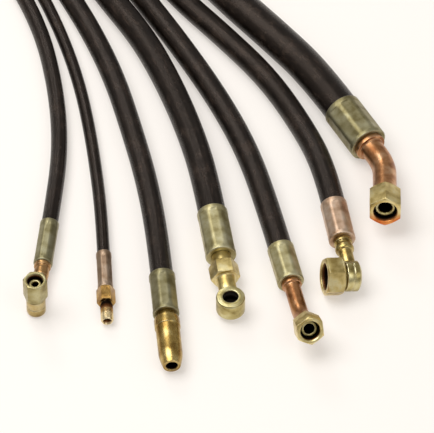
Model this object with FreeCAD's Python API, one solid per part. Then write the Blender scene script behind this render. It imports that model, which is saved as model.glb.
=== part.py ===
import FreeCAD, Part
import math
import os

# A set of seven hydraulic hose assemblies that lie side by side on a table, in millimetres.
# X runs to the right, Y away from the viewer, and Z up from the table. The near ends, which
# all differ, point at the viewer, and the far ends lie behind.

# Each hose: its bore, and the walls of its inner rubber, its wire braid and its rubber cover.
hose_sizes = {
    1: {"bore": 9.5, "liner_wall": 1.05, "braid_wall": 0.8, "cover_wall": 1.6},
    2: {"bore": 6.4, "liner_wall": 1.1, "braid_wall": 0.6, "cover_wall": 1.3},
    3: {"bore": 15.9, "liner_wall": 1.0, "braid_wall": 0.8, "cover_wall": 1.6},
    4: {"bore": 19.0, "liner_wall": 1.35, "braid_wall": 1.5, "cover_wall": 1.8},
    5: {"bore": 15.9, "liner_wall": 1.15, "braid_wall": 1.4, "cover_wall": 1.7},
    6: {"bore": 15.9, "liner_wall": 1.15, "braid_wall": 1.4, "cover_wall": 1.7},
    7: {"bore": 25.4, "liner_wall": 1.85, "braid_wall": 1.9, "cover_wall": 2.1},
}

# Each hose's crimped ferrules: length, and the radius by which the wall stands out of the hose.
ferrule_sizes = {
    1: {"length": 56.0, "stands_out": 1.3},
    2: {"length": 48.0, "stands_out": 1.4},
    3: {"length": 52.0, "stands_out": 1.9},
    4: {"length": 60.0, "stands_out": 1.5},
    5: {"length": 48.0, "stands_out": 1.4},
    6: {"length": 50.0, "stands_out": 1.4},
    7: {"length": 56.0, "stands_out": 1.6},
}

# Swivel nuts: width across the flats, length, thread hole and thread length.
near_nuts = {
    1: {"flats": 22.0, "length": 26.0, "thread": 16.4, "depth": 6.0},
    5: {"flats": 27.0, "length": 21.0, "thread": 20.4, "depth": 7.0},
    6: {"flats": 36.0, "length": 19.0, "thread": 28.0, "depth": 7.0},
    7: {"flats": 32.0, "length": 30.0, "thread": 24.4, "depth": 7.0},
}
far_nuts = {
    1: {"flats": 22.0, "length": 21.0, "thread": 16.4, "depth": 7.0},
    3: {"flats": 27.0, "length": 22.0, "thread": 20.4, "depth": 7.0},
    5: {"flats": 27.0, "length": 22.0, "thread": 20.4, "depth": 7.0},
    6: {"flats": 30.0, "length": 23.0, "thread": 24.4, "depth": 8.0},
    7: {"flats": 41.0, "length": 29.0, "thread": 34.0, "depth": 9.0},
}

# The routes on the table, chosen by hand, from the near ferrule's mouth to the far one's.
routes = {
    1: [(-175, -18), (-171, 20), (-167, 72), (-168, 124), (-175, 184), (-189, 250), (-216, 320),
        (-260, 398), (-308, 476), (-359, 548), (-393, 598), (-420, 640)],
    2: [(-118, -58), (-121, -6), (-127, 52), (-135, 112), (-147, 178), (-166, 246), (-195, 322),
        (-238, 398), (-284, 476), (-331, 552), (-362, 604), (-387, 648)],
    3: [(-57, -92), (-62, -38), (-74, 40), (-91, 112), (-110, 184), (-136, 252), (-168, 318),
        (-207, 394), (-253, 478), (-300, 560), (-328, 616), (-352, 664)],
    4: [(-5, -9), (-13, 42), (-28, 104), (-50, 170), (-79, 238), (-119, 302), (-168, 386),
        (-216, 474), (-259, 560), (-285, 618), (-306, 666)],
    5: [(66, -55), (54, -2), (33, 78), (3, 150), (-38, 228), (-83, 304), (-133, 386),
        (-178, 474), (-217, 560), (-240, 620), (-258, 670)],
    6: [(122, 2), (113, 54), (89, 118), (54, 184), (7, 244), (-41, 300), (-88, 370), (-134, 452),
        (-170, 542), (-189, 604), (-205, 662)],
    7: [(133, 131), (104, 183), (65, 234), (12, 297), (-36, 362), (-81, 440), (-117, 526),
        (-139, 612), (-153, 680)],
}

# From the middle of the routes' own frame to the middle of the whole set.
set_middle = FreeCAD.Vector(-144.5, 290.7, 0)

# The hoses' inner layers and their ends in the ferrules.
layer_gap = 0.25
squeeze_share = 0.35
straight_in_ferrule = 3.0
setback_share = 0.45
mouth_depth = 5.0
mouth_clearance = 0.4
grip_clearance = 0.2
hose_end_gap = 6.0

# Ferrules.
lip_length = 3.2
edge_break = 0.8
crimp_jaws = 8
crimp_start = 6.0
crimp_stop = 5.0
crimp_depth = 0.35

# Inserts: the tail inside the hose, the ring that locks the ferrule, and the bore.
tail_clearance = 0.15
tail_start = 4.0
tail_wall = 1.4
barb_count = 4
barb_depth = 0.4
barb_length = 2.5
lock_ring_height = 1.6
lock_ring_length = 2.0
lock_groove_height = 0.5
lip_clearance = 0.2
lock_ring_gap = 0.5
tail_break = 0.5
stud_chamfer = 1.2
stud_cone_half_angle = math.radians(30)
corner_cut_share = 0.6
collar_gap = 0.3

# Swivel heads: the nut runs on the head with this radial clearance, held by a wire ring.
nut_clearance = 0.25
wire_radius = 0.9
wire_clearance = 0.15
wire_from_back = 3.5
undercut_depth = 0.6
undercut_length = 2.5
head_inside_thread = 0.6
head_step = 2.0
cone_length = 6.0
cone_slope = math.tan(math.radians(12))
nose_wall = 2.2
nose_break = 0.5
seal_radius = 0.8
seal_share = 0.55
seal_sunk = 0.28
seal_clearance = 0.05
mouth_chamfer = 1.0

# Ends that turn have a roll: at 0 degrees they turn to the viewer's left, and at 90 up.

# Near end 1: an elbow whose mouth faces up.
elbow_1 = {"reach": 54.0, "rise": 15.0, "back": 9.5, "drum": 20.0, "neck": 15.0, "collar": 17.6,
           "bead": 16.0, "roll": 90.0}

# Near end 2: a straight stud with a hexagon.
stud_2 = {"flats": 17.0, "hexagon": 18.0, "stud": 13.16, "length": 24.0, "cone": 9.4,
          "relief": 2.0, "relief_depth": 1.0}

# Near end 3: a straight standpipe behind a round shoulder.
pipe_3 = {"shoulder": 26.8, "shoulder_length": 13.0, "shoulder_break": 2.5, "collar": 21.0,
          "collar_length": 5.0, "pipe": 25.0, "straight": 32.0, "nose": 18.0, "taper": 17.0,
          "bore": 12.0}

# Near end 4, and its far end too: a banjo eye behind a hexagon.
eye_4 = {"collar": 21.0, "collar_length": 12.0, "flats": 27.0, "hexagon": 18.0, "neck": 19.0,
         "reach": 62.0, "eye": 30.0, "thickness": 22.0, "bore": 16.0, "groove": 2.0,
         "groove_length": 7.0, "channel": 6.0}

# Near ends 5 and 7: bent tubes with a collar against the ferrule.
bend_5 = {"tube": 17.0, "bore": 11.0, "collar": 21.0, "collar_length": 4.0, "before": 28.0,
          "radius": 40.0, "turn": 30.0, "after": 15.0, "roll": 90.0}
bend_7 = {"tube": 25.0, "bore": 14.0, "collar": 33.0, "collar_length": 5.0, "before": 12.0,
          "radius": 55.0, "turn": 32.0, "after": 32.0, "roll": 22.0}

# Near end 6: a forged right-angle drum whose mouth faces left and a little up.
elbow_6 = {"reach": 48.0, "rise": 10.0, "back": 8.0, "drum": 32.0, "neck": 15.0, "collar": 19.0,
           "bead": 20.0, "roll": 10.0}
elbow_collar_length = 4.0
bead_length = 9.0
bead_from_collar = 3.0

# Far ends: a straight swivel head behind a short hexagon.
far_hexagon_length = 9.0
far_neck_length = 5.0
far_neck_step = 1.5

up = FreeCAD.Vector(0, 0, 1)
forward = FreeCAD.Vector(1, 0, 0)
middle = FreeCAD.Vector(0, 0, 0)


def layers(hose):
    """Radii of one hose's liner, braid and cover, each as (outside, inside)."""
    size = hose_sizes[hose]
    liner = (size["bore"] / 2 + size["liner_wall"], size["bore"] / 2)
    braid = (liner[0] + layer_gap + size["braid_wall"], liner[0] + layer_gap)
    cover = (braid[0] + layer_gap + size["cover_wall"], braid[0] + layer_gap)
    return {"liner": liner, "braid": braid, "cover": cover}


def hose_radius(hose):
    return layers(hose)["cover"][0]


def squeezed_radius(hose):
    return hose_radius(hose) - squeeze_share * hose_sizes[hose]["cover_wall"]


def ferrule_radius(hose):
    return hose_radius(hose) + ferrule_sizes[hose]["stands_out"]


def tail_radius(hose):
    return hose_sizes[hose]["bore"] / 2 - tail_clearance


def spin(outline):
    """A solid of revolution about X from (along, radius) points."""
    points = [FreeCAD.Vector(along, 0, radius) for along, radius in outline]
    face = Part.Face(Part.makePolygon(points + [points[0]]))
    return face.revolve(middle, forward, 360)


def rod(radius, start, stop):
    return Part.makeCylinder(radius, stop - start, FreeCAD.Vector(start, 0, 0), forward)


def prism(flats, sides, start, stop):
    """A regular prism along X with one flat facing down, given its width across flats."""
    corner = flats / 2 / math.cos(math.pi / sides)
    turns = [math.pi * (2 * side + 1) / sides - math.pi / 2 for side in range(sides)]
    points = [FreeCAD.Vector(start, corner * math.cos(t), corner * math.sin(t)) for t in turns]
    return Part.Face(Part.makePolygon(points + [points[0]])).extrude(forward * (stop - start))


def hexagon(flats, start, stop):
    """A hexagon along X whose corners are turned off at both ends."""
    corner = flats / math.sqrt(3)
    cut = corner_cut_share * (corner - flats / 2)
    turned = spin([(start, 0), (start, flats / 2), (start + cut, corner),
                   (stop - cut, corner), (stop, flats / 2), (stop, 0)])
    return prism(flats, 6, start, stop).common(turned)


def stand(shape, base, direction, top=up):
    """Moves a shape from the fitting's own frame, where X leaves the hose, to its place."""
    turn = FreeCAD.Rotation(direction, middle, top, "XZY")
    placed = shape.copy()
    placed.Placement = FreeCAD.Placement(base, turn)
    return placed


def turned_side(roll):
    """A direction square to the fitting: the viewer's left at 0 degrees and up at 90."""
    turn = math.radians(roll)
    return FreeCAD.Vector(0, -math.cos(turn), math.sin(turn))


def below_elbow(elbow):
    """How far the closed side of an elbow's drum reaches below the fitting's axis."""
    turn = math.radians(elbow["roll"])
    return elbow["back"] * math.sin(turn) + elbow["drum"] / 2 * math.cos(turn)


def near_height(hose):
    """Height of a near end's axis, so that nothing reaches below the table."""
    lowest = {
        1: below_elbow(elbow_1),
        2: stud_2["flats"] / 2,
        3: pipe_3["shoulder"] / 2,
        4: eye_4["flats"] / 2,
        5: bend_5["collar"] / 2,
        6: below_elbow(elbow_6),
        7: bend_7["collar"] / 2,
    }
    return max(ferrule_radius(hose), lowest[hose])


def far_height(hose):
    if hose in far_nuts:
        return max(ferrule_radius(hose), far_nuts[hose]["flats"] / 2)
    lowest = stud_2["flats"] / 2 if hose == 2 else eye_4["flats"] / 2
    return max(ferrule_radius(hose), lowest)


def route_points(hose):
    """The route with its heights: level at both ends, and on the table between them."""
    flat = routes[hose]
    last = len(flat) - 1
    points = []
    for place, (x, y) in enumerate(flat):
        height = hose_radius(hose)
        if place <= 1:
            height = near_height(hose)
        if place >= last - 1:
            height = far_height(hose)
        points.append(FreeCAD.Vector(x, y, height) - set_middle)
    return points


def end_frame(hose, near):
    """A ferrule's mouth and the direction in which its hose end points."""
    points = route_points(hose)
    if not near:
        points = points[::-1]
    direction = (points[0] - points[1]).normalize()
    return points[0], direction


def hose_line(hose):
    """Straight runs joined by arcs that touch them, from one ferrule to the other."""
    points = route_points(hose)
    ends = [end_frame(hose, near)[1] * straight_in_ferrule for near in (True, False)]
    points[0] = points[0] + ends[0]
    points[-1] = points[-1] + ends[1]
    edges = []
    radii = []
    start = points[0]
    for before, corner, after in zip(points, points[1:], points[2:]):
        arriving = (corner - before).normalize()
        leaving = (after - corner).normalize()
        setback = setback_share * min(before.distanceToPoint(corner), corner.distanceToPoint(after))
        half_turn = arriving.getAngle(leaving) / 2
        radius = setback / math.tan(half_turn)
        enter = corner - arriving * setback
        leave = corner + leaving * setback
        inward = (leaving - arriving).normalize()
        centre = corner + inward * (radius / math.cos(half_turn))
        crown = centre - inward * radius
        edges.append(Part.LineSegment(start, enter).toShape())
        edges.append(Part.Arc(enter, crown, leave).toShape())
        radii.append(radius)
        start = leave
    edges.append(Part.LineSegment(start, points[-1]).toShape())
    return Part.Wire(edges), radii


def swept_rod(line, base, direction, radius):
    disc = Part.Face(Part.Wire(Part.makeCircle(radius, base, direction)))
    return line.makePipe(disc)


def swept_tube(line, base, direction, outside, inside):
    return swept_rod(line, base, direction, outside).cut(swept_rod(line, base, direction, inside))


def hose_end(hose, near, outside, inside):
    """The straight stretch of one layer inside a ferrule."""
    base, direction = end_frame(hose, near)
    stop = ferrule_sizes[hose]["length"] - hose_end_gap
    stretch = rod(outside, straight_in_ferrule, stop).cut(rod(inside, 0, stop + 1))
    return stand(stretch, base, direction)


def hose_layer(hose, name):
    outside, inside = layers(hose)[name]
    line, radii = hose_line(hose)
    first = line.Edges[0].Vertexes[0].Point
    direction = end_frame(hose, True)[1] * -1
    tube = swept_tube(line, first, direction, outside, inside)
    if name == "cover":
        exact = math.pi * (outside**2 - inside**2) * line.Length
        print(f"hose {hose}: line {line.Length:.0f} mm, radii", [round(r) for r in radii],
              f"tightest {min(radii) / (2 * outside):.1f} diameters,",
              f"volume {tube.Volume / exact:.5f} of the exact one")
    end_radius = squeezed_radius(hose) if name == "cover" else outside
    near_end = hose_end(hose, True, end_radius, inside)
    far_end = hose_end(hose, False, end_radius, inside)
    return tube.fuse([near_end, far_end]).removeSplitter()


def ferrule(hose):
    length = ferrule_sizes[hose]["length"]
    outer = ferrule_radius(hose)
    mouth = hose_radius(hose) + mouth_clearance
    grip = squeezed_radius(hose) + grip_clearance
    lip = tail_radius(hose) + lock_groove_height + lip_clearance
    body = spin([
        (0, mouth), (0, outer - edge_break / 2), (edge_break / 2, outer),
        (length - edge_break, outer), (length, outer - edge_break), (length, lip),
        (length - lip_length, lip), (length - lip_length, grip),
        (mouth_depth, grip), (mouth_depth, mouth),
    ])
    stop = length - crimp_stop
    jaws = rod(outer + 1, crimp_start, stop)
    jaws = jaws.cut(prism(2 * (outer - crimp_depth), crimp_jaws, crimp_start, stop))
    return body.cut(jaws)


def tail_outline(hose):
    """The insert's outline inside the ferrule, from its inner end to the ferrule's lip."""
    length = ferrule_sizes[hose]["length"]
    radius = tail_radius(hose)
    stop = length - hose_end_gap + lock_ring_gap
    outline = [(tail_start, insert_bore(hose)), (tail_start, radius - tail_break),
               (tail_start + tail_break, radius)]
    pitch = (stop - tail_start) / (barb_count + 1)
    for barb in range(1, barb_count + 1):
        along = tail_start + barb * pitch
        outline.append((along, radius))
        outline.append((along, radius - barb_depth))
        outline.append((along + barb_length, radius))
    outline.append((stop, radius))
    outline.append((stop, radius + lock_ring_height))
    outline.append((stop + lock_ring_length, radius + lock_ring_height))
    outline.append((stop + lock_ring_length, radius + lock_groove_height))
    outline.append((length + collar_gap, radius + lock_groove_height))
    return outline


def insert_bore(hose):
    return tail_radius(hose) - tail_wall


def tail(hose):
    """The barbed stretch of an insert, with its bore."""
    start = ferrule_sizes[hose]["length"] + collar_gap
    return spin(tail_outline(hose) + [(start, insert_bore(hose))])


def head_sizes(nut):
    """Radii and lengths of the swivel head that carries a nut; its nose is at zero."""
    head = nut["thread"] / 2 - head_inside_thread
    nose = head - cone_length * cone_slope
    back = nut["length"] - nut["depth"]
    return {"head": head, "nose": nose, "mouth": nose - nose_wall, "back": back}


def wire_ring(nut, radius):
    sizes = head_sizes(nut)
    line = sizes["head"] + nut_clearance / 2
    place = FreeCAD.Vector(wire_from_back - sizes["back"], 0, 0)
    return Part.makeTorus(line, radius, place, forward)


def seal_ring(nut, radius):
    """A ring sunk into the cone of the head."""
    from_nose = cone_length * seal_share
    line = head_sizes(nut)["nose"] + from_nose * cone_slope - seal_sunk
    return Part.makeTorus(line, radius, FreeCAD.Vector(-from_nose, 0, 0), forward)


def swivel_head(nut, neck, bore):
    """The insert's head inside a nut, with its nose at zero and its neck behind."""
    sizes = head_sizes(nut)
    back = sizes["back"]
    nose = sizes["nose"]
    outline = [
        (-back - head_step, bore), (-back - head_step, neck), (-back, sizes["head"]),
        (-cone_length, sizes["head"]), (-nose_break, nose), (0, nose - nose_break),
    ]
    if sizes["mouth"] > bore:
        outline.append((0, sizes["mouth"]))
        outline.append((bore - sizes["mouth"], bore))
    else:
        outline.append((0, bore))
    head = spin(outline).cut(wire_ring(nut, wire_radius + wire_clearance))
    return head.cut(seal_ring(nut, seal_radius + seal_clearance))


def swivel_nut(nut):
    """A hexagon nut in its head's frame: the nose plane is at zero and the mouth in front."""
    sizes = head_sizes(nut)
    body = hexagon(nut["flats"], -sizes["back"], nut["depth"])
    thread = nut["thread"] / 2
    run = sizes["head"] + nut_clearance
    hole = spin([
        (-sizes["back"] - 1, 0), (-sizes["back"] - 1, run), (-undercut_length, run),
        (-undercut_length, thread + undercut_depth), (0, thread + undercut_depth), (0, thread),
        (nut["depth"] - mouth_chamfer, thread), (nut["depth"], thread + mouth_chamfer),
        (nut["depth"] + 1, thread + mouth_chamfer), (nut["depth"] + 1, 0),
    ])
    return body.cut(hole).cut(wire_ring(nut, wire_radius + wire_clearance))


def straight_swivel(hose, nut):
    """A far insert: tail, hexagon, neck and swivel head on one line."""
    start = ferrule_sizes[hose]["length"] + collar_gap
    sizes = head_sizes(nut)
    bore = min(insert_bore(hose), sizes["mouth"])
    neck = sizes["head"] - far_neck_step
    flats = min(nut["flats"], 2 * ferrule_radius(hose))
    hex_stop = start + far_hexagon_length
    neck_stop = hex_stop + far_neck_length
    nose = FreeCAD.Vector(neck_stop + head_step + sizes["back"], 0, 0)
    body = hexagon(flats, start, hex_stop).fuse(rod(neck, hex_stop, neck_stop))
    body = body.cut(rod(bore, start - 1, neck_stop + 1))
    head = stand(swivel_head(nut, neck, bore), nose, forward)
    return tail(hose).fuse([body, head]).removeSplitter(), (nose, forward, up)


def stud_insert(hose):
    """Near end 2: tail, hexagon and an outside thread with a cone inside its mouth."""
    start = ferrule_sizes[hose]["length"] + collar_gap
    bore = insert_bore(hose)
    stud = stud_2["stud"] / 2
    shoulder = start + stud_2["hexagon"]
    thread_start = shoulder + stud_2["relief"]
    tip = shoulder + stud_2["length"]
    cone = stud_2["cone"] / 2
    cone_depth = (cone - bore) / math.tan(stud_cone_half_angle)
    root = stud - stud_2["relief_depth"]
    body = hexagon(stud_2["flats"], start, shoulder).cut(rod(bore, start - 1, shoulder + 1))
    thread = spin([
        (shoulder, bore), (shoulder, root), (thread_start, root),
        (thread_start + stud_2["relief_depth"], stud),
        (tip - stud_chamfer, stud), (tip, stud - stud_chamfer), (tip, cone),
        (tip - cone_depth, bore),
    ])
    return tail(hose).fuse([body, thread]).removeSplitter(), None


def pipe_insert(hose):
    """Near end 3: tail, collar, round shoulder and a plain pipe with a tapered nose."""
    start = ferrule_sizes[hose]["length"] + collar_gap
    collar_stop = start + pipe_3["collar_length"]
    shoulder = pipe_3["shoulder"] / 2
    broken = pipe_3["shoulder_break"]
    shoulder_stop = collar_stop + pipe_3["shoulder_length"]
    pipe = pipe_3["pipe"] / 2
    nose = pipe_3["nose"] / 2
    bore = pipe_3["bore"] / 2
    tail_bore = min(bore, insert_bore(hose))
    straight = shoulder_stop + pipe_3["straight"]
    tip = straight + pipe_3["taper"]
    front = spin([
        (start, tail_bore), (start, pipe_3["collar"] / 2), (collar_stop, pipe_3["collar"] / 2),
        (collar_stop, shoulder - broken), (collar_stop + broken, shoulder),
        (shoulder_stop - edge_break, shoulder), (shoulder_stop, pipe), (straight, pipe),
        (tip - nose_break, nose), (tip, nose - nose_break), (tip, bore + edge_break),
        (tip - edge_break, bore), (shoulder_stop, bore), (shoulder_stop, tail_bore),
    ])
    return tail(hose).fuse(front).removeSplitter(), None


def eye_insert(hose):
    """Near end 4: tail, collar, hexagon, neck and an eye whose bore takes a hollow bolt."""
    start = ferrule_sizes[hose]["length"] + collar_gap
    hex_start = start + eye_4["collar_length"]
    hex_stop = hex_start + eye_4["hexagon"]
    centre = start + eye_4["reach"]
    half = eye_4["thickness"] / 2
    bore = eye_4["bore"] / 2
    eye = Part.makeCylinder(eye_4["eye"] / 2, 2 * half, FreeCAD.Vector(centre, 0, -half), up)
    rim = [edge for edge in eye.Edges if edge.Curve.TypeId == "Part::GeomCircle"]
    eye = eye.makeChamfer(edge_break, rim)
    stem = rod(eye_4["collar"] / 2, start, hex_start).fuse([
        hexagon(eye_4["flats"], hex_start, hex_stop), rod(eye_4["neck"] / 2, hex_stop, centre),
    ])
    groove_half = eye_4["groove_length"] / 2
    through = Part.makeCylinder(bore, 4 * half, FreeCAD.Vector(centre, 0, -2 * half), up)
    groove = Part.makeCylinder(bore + eye_4["groove"], 2 * groove_half,
                               FreeCAD.Vector(centre, 0, -groove_half), up)
    channel = rod(eye_4["channel"] / 2, start - 1, centre)
    body = stem.fuse(eye).cut([through, groove, channel])
    return tail(hose).fuse(body).removeSplitter(), None


def tube_line(bend, start, side):
    """A bent tube's middle line in the fitting's frame, with the point and way it ends."""
    turn = math.radians(bend["turn"])
    radius = bend["radius"]
    enter = FreeCAD.Vector(start + bend["before"], 0, 0)
    half = turn / 2
    crown = enter + forward * (radius * math.sin(half)) + side * (radius * (1 - math.cos(half)))
    leave = enter + forward * (radius * math.sin(turn)) + side * (radius * (1 - math.cos(turn)))
    way = forward * math.cos(turn) + side * math.sin(turn)
    stop = leave + way * bend["after"]
    edges = [
        Part.LineSegment(FreeCAD.Vector(start, 0, 0), enter).toShape(),
        Part.Arc(enter, crown, leave).toShape(),
        Part.LineSegment(leave, stop).toShape(),
    ]
    return Part.Wire(edges), stop, way


def bent_insert(hose, bend, nut):
    """Near ends 5 and 7: tail, collar, bent tube and swivel head."""
    start = ferrule_sizes[hose]["length"] + collar_gap
    bore = bend["bore"] / 2
    tube = bend["tube"] / 2
    collar_stop = start + bend["collar_length"]
    collar = spin([
        (start, bore), (start, bend["collar"] / 2), (collar_stop - edge_break, bend["collar"] / 2),
        (collar_stop, bend["collar"] / 2 - edge_break), (collar_stop, bore),
    ])
    line, stop, way = tube_line(bend, collar_stop, turned_side(bend["roll"]))
    top = up.cross(way)
    pipe = swept_tube(line, FreeCAD.Vector(collar_stop, 0, 0), forward, tube, bore)
    nose = stop + way * (head_sizes(nut)["back"] + head_step)
    head = stand(swivel_head(nut, tube, bore), nose, way, top)
    return tail(hose).fuse([collar, pipe, head]).removeSplitter(), (nose, way, top)


def elbow_stem(elbow, start, corner):
    """Collar, beaded neck and the way into the drum, along the fitting's own axis."""
    collar = elbow["collar"] / 2
    neck = elbow["neck"] / 2
    bead = elbow["bead"] / 2
    collar_stop = start + elbow_collar_length
    bead_start = collar_stop + bead_from_collar
    bead_stop = bead_start + bead_length
    slope = bead_length / 4
    return spin([
        (start, 0), (start, collar), (collar_stop - edge_break, collar),
        (collar_stop, collar - edge_break), (collar_stop, neck), (bead_start, neck),
        (bead_start + slope, bead), (bead_stop - slope, bead), (bead_stop, neck),
        (corner, neck), (corner, 0),
    ])


def forged_elbow(hose, elbow, nut, top):
    """Near ends 1 and 6: tail, collar, neck and a forged drum that turns a right angle."""
    start = ferrule_sizes[hose]["length"] + collar_gap
    way = turned_side(elbow["roll"])
    corner = FreeCAD.Vector(start + elbow["reach"], 0, 0)
    sizes = head_sizes(nut)
    bore = min(insert_bore(hose), sizes["mouth"])
    drum = elbow["drum"] / 2
    drum_stop = elbow["rise"] - head_step
    drum_part = stand(spin([
        (-elbow["back"], 0), (-elbow["back"], drum - edge_break),
        (edge_break - elbow["back"], drum), (drum_stop - edge_break, drum),
        (drum_stop, drum - edge_break), (drum_stop, 0),
    ]), corner, way, top)
    nose = corner + way * (elbow["rise"] + sizes["back"])
    head = stand(swivel_head(nut, sizes["head"] - nose_break, bore), nose, way, top)
    inward = rod(bore, start - 1, corner.x)
    outward = stand(rod(bore, 0, elbow["rise"]), corner, way, top)
    turn = Part.makeSphere(bore, corner)
    body = elbow_stem(elbow, start, corner.x).fuse(drum_part).cut([inward, outward, turn])
    return tail(hose).fuse([body, head]).removeSplitter(), (nose, way, top)


def near_insert(hose):
    """A near end's insert and, where it carries a nut, the nut's nose point, way and top."""
    if hose == 1:
        return forged_elbow(hose, elbow_1, near_nuts[hose], forward * -1)
    if hose == 2:
        return stud_insert(hose)
    if hose == 3:
        return pipe_insert(hose)
    if hose == 4:
        return eye_insert(hose)
    if hose == 5:
        return bent_insert(hose, bend_5, near_nuts[hose])
    if hose == 6:
        return forged_elbow(hose, elbow_6, near_nuts[hose], up)
    return bent_insert(hose, bend_7, near_nuts[hose])


def far_insert(hose):
    if hose == 2:
        return stud_insert(hose)
    if hose == 4:
        return eye_insert(hose)
    return straight_swivel(hose, far_nuts[hose])


def solids_only(shape):
    solids = shape.Solids
    return solids[0] if len(solids) == 1 else Part.makeCompound(solids)


def save(name, shape):
    os.makedirs("parts", exist_ok=True)
    shape = solids_only(shape)
    if not shape.isValid():
        print("not valid:", name)
    shape.exportStep(f"parts/{name}.step")


def save_end(hose, near, rings, seals):
    """One end of a hose: ferrule, insert and any nut, with the small rings kept for later."""
    word = "near" if near else "far"
    base, direction = end_frame(hose, near)
    save(f"{word}_ferrule_{hose}", stand(ferrule(hose), base, direction))
    insert, head = near_insert(hose) if near else far_insert(hose)
    fitting = FreeCAD.Placement(base, FreeCAD.Rotation(direction, middle, up, "XZY"))
    placed = insert.copy()
    placed.Placement = fitting
    save(f"{word}_insert_{hose}", placed)
    if not head:
        return
    nut = near_nuts[hose] if near else far_nuts[hose]
    nose, way, top = head
    head_place = FreeCAD.Placement(nose, FreeCAD.Rotation(way, middle, top, "XZY"))
    whole = fitting.multiply(head_place)
    nut_shape = swivel_nut(nut)
    nut_shape.Placement = whole
    save(f"{word}_nut_{hose}", nut_shape)
    ends = ((rings, wire_ring(nut, wire_radius)), (seals, seal_ring(nut, seal_radius)))
    for shapes, ring in ends:
        ring.Placement = whole.multiply(ring.Placement)
        shapes.append(ring)
    point = whole.multVec(middle)
    axis = whole.Rotation.multVec(forward)
    print(f"{word} nut {hose}: nose at {tuple(round(v, 3) for v in point)}",
          f"axis {tuple(round(v, 5) for v in axis)}")


rings = []
seals = []
for hose in sorted(hose_sizes):
    for layer in ("cover", "braid", "liner"):
        save(f"hose_{hose}_{layer}", hose_layer(hose, layer))
    save_end(hose, True, rings, seals)
    save_end(hose, False, rings, seals)
save("nut_retaining_wires", Part.makeCompound(rings))
save("cone_seal_rings", Part.makeCompound(seals))
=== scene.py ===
import bpy
import bmesh
import math
from mathutils import Matrix, Vector


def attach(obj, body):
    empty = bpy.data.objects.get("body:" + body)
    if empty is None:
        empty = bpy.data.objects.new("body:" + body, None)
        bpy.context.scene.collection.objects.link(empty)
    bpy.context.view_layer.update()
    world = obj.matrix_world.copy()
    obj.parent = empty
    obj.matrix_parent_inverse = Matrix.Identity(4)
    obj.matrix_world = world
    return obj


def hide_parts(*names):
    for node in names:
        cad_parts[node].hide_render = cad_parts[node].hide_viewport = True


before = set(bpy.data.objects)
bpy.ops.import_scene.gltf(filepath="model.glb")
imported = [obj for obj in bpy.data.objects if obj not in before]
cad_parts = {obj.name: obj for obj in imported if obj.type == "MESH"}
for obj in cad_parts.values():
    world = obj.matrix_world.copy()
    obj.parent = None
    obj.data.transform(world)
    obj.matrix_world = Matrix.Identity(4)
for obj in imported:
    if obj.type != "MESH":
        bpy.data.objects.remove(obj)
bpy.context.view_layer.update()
print("frame loaded:", len(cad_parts), "nodes")

# Seven hydraulic hoses side by side on a table. Fittings are drawn in millimetres in their own
# frame, where X runs from the ferrule's mouth to the fitting's tip and Z is up, and placed in metres.
mm = 0.001
setMiddle = Vector((-0.1445, 0.2907, 0.0))  # the middle of the set, in the metres of the routes
xAxis = Vector((1, 0, 0))
zAxis = Vector((0, 0, 1))

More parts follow.
